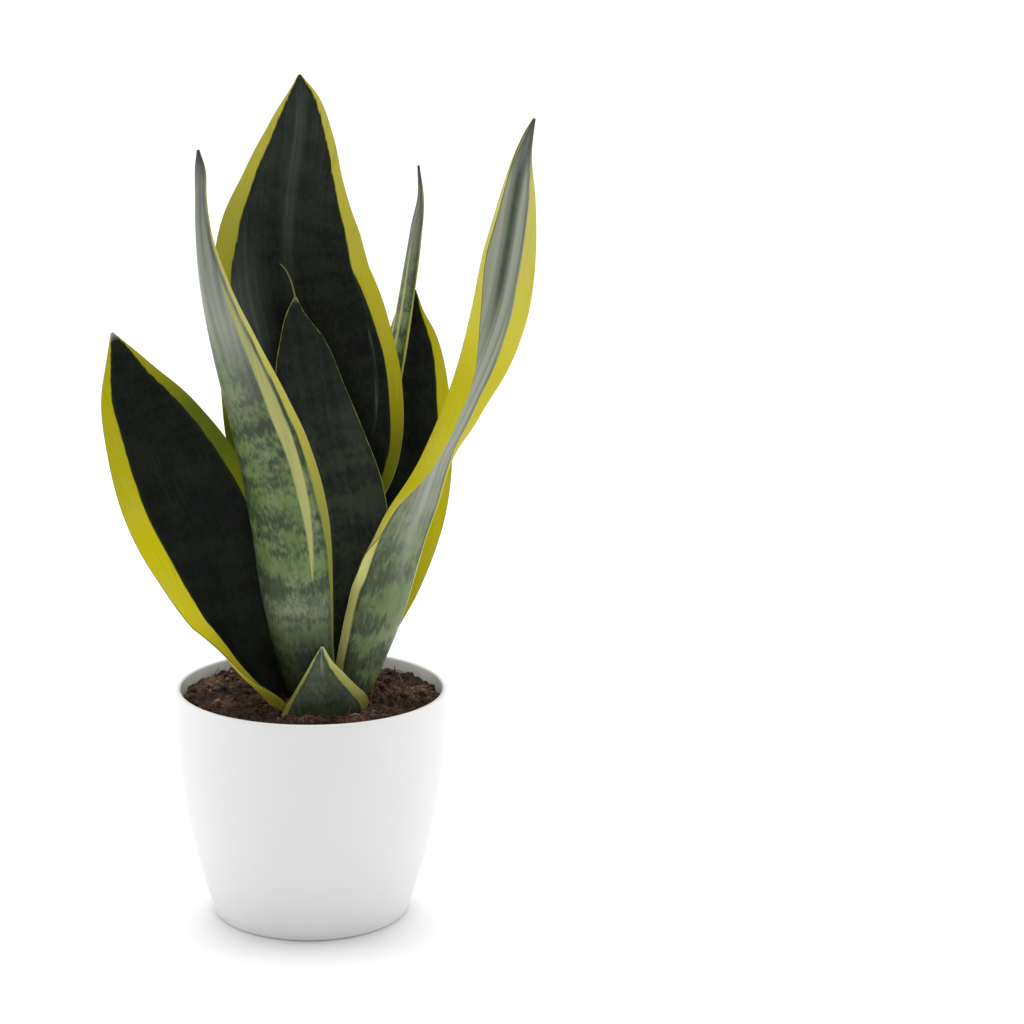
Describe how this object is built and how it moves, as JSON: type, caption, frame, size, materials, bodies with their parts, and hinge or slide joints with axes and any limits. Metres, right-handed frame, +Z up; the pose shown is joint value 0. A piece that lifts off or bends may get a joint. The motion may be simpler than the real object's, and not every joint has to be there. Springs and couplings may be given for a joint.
{
  "type": "potted snake plant",
  "caption": "Upright variegated snake plant with banded, yellow-edged leaves in a round white plastic pot of peat and coir mix.",
  "frame": {"origin": "centre of the flat underside of the pot, on the surface it stands on", "axes": "+Z up, along the pot's axis; the front of the plant, where the banded and the short leaf stand, faces -Y"},
  "size_m": [0.2066, 0.135, 0.4171],
  "materials": {
    "pot_plastic": "satin",
    "potting_mix": "matte",
    "leaf_blade": "satin"
  },
  "bodies": {
    "root": {"pot": "pot_plastic", "potting_mix": "potting_mix", "leaf_tall_back": "leaf_blade", "leaf_left": "leaf_blade", "leaf_front_banded": "leaf_blade", "leaf_young_centre": "leaf_blade", "leaf_right_back": "leaf_blade", "leaf_slender": "leaf_blade", "leaf_right_twisted": "leaf_blade", "leaf_short_front": "leaf_blade"}
  },
  "joints": []
}
